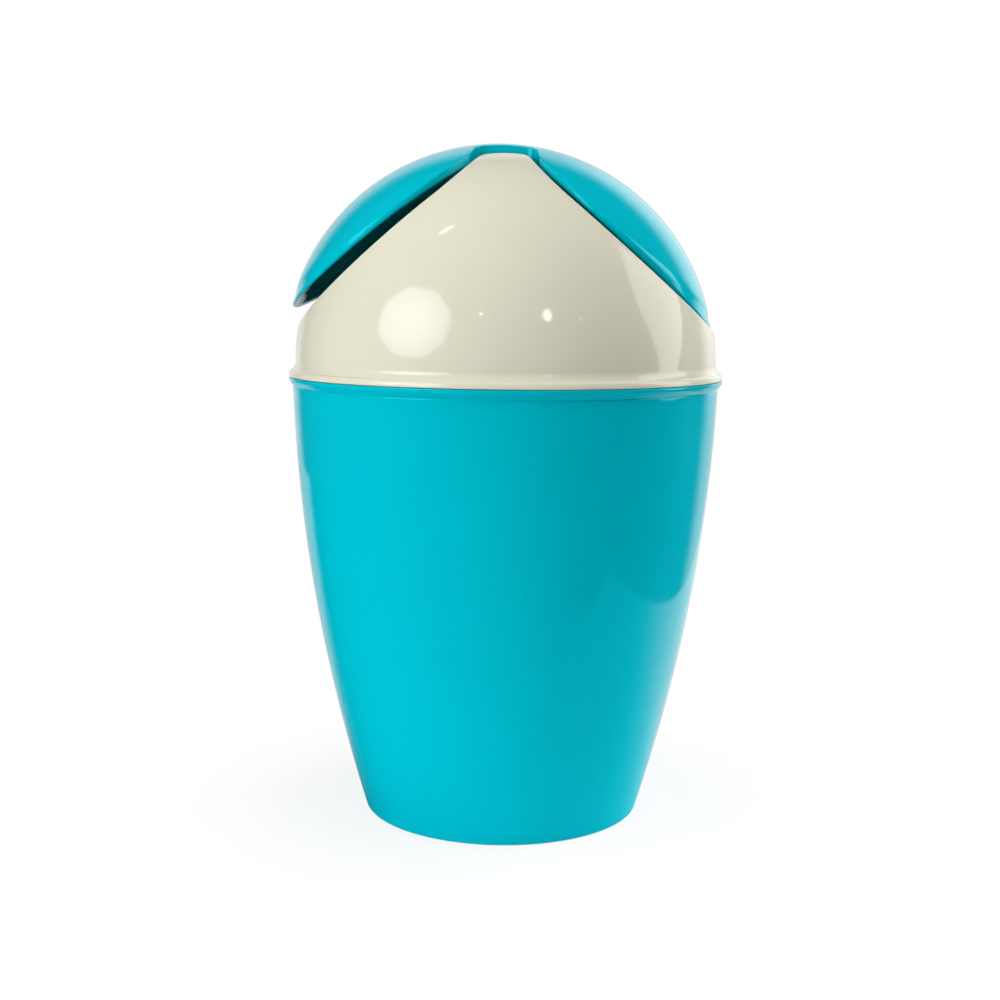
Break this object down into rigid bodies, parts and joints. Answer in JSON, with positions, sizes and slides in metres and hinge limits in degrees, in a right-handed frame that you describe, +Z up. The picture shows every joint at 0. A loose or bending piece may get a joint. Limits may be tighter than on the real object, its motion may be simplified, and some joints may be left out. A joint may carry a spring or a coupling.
{
  "type": "swing-top waste bin",
  "caption": "Round tapering waste bucket with a lift-off domed frame and a balanced swing lid that pivots inside it, in glossy moulded plastic.",
  "frame": {"origin": "middle of the base, on the floor the bin stands on", "axes": "+Z up; +Y away from the viewer along the lid's swing axis, from the front pin to the back pin; +X to the right, towards the right-hand flap"},
  "size_m": [0.242, 0.242, 0.374],
  "materials": {
    "bucket_turquoise": "glossy turquoise injection-moulded polypropylene",
    "frame_cream": "glossy cream injection-moulded polypropylene",
    "lid_turquoise": "glossy turquoise injection-moulded polypropylene"
  },
  "bodies": {
    "bucket": {"bucket": "bucket_turquoise"},
    "frame": {"dome_frame": "frame_cream"},
    "lid": {"swing_lid": "lid_turquoise"}
  },
  "joints": [
    {"name": "frame_lift", "type": "slide", "parent": "bucket", "child": "frame", "axis": [0, 0, 1], "range_m": [0, 0.06]},
    {"name": "lid_swing", "type": "hinge", "parent": "frame", "child": "lid", "pos_m": [0, 0, 0.35], "axis": [0, 1, 0], "range_deg": [-62.3, 57.7]}
  ]
}
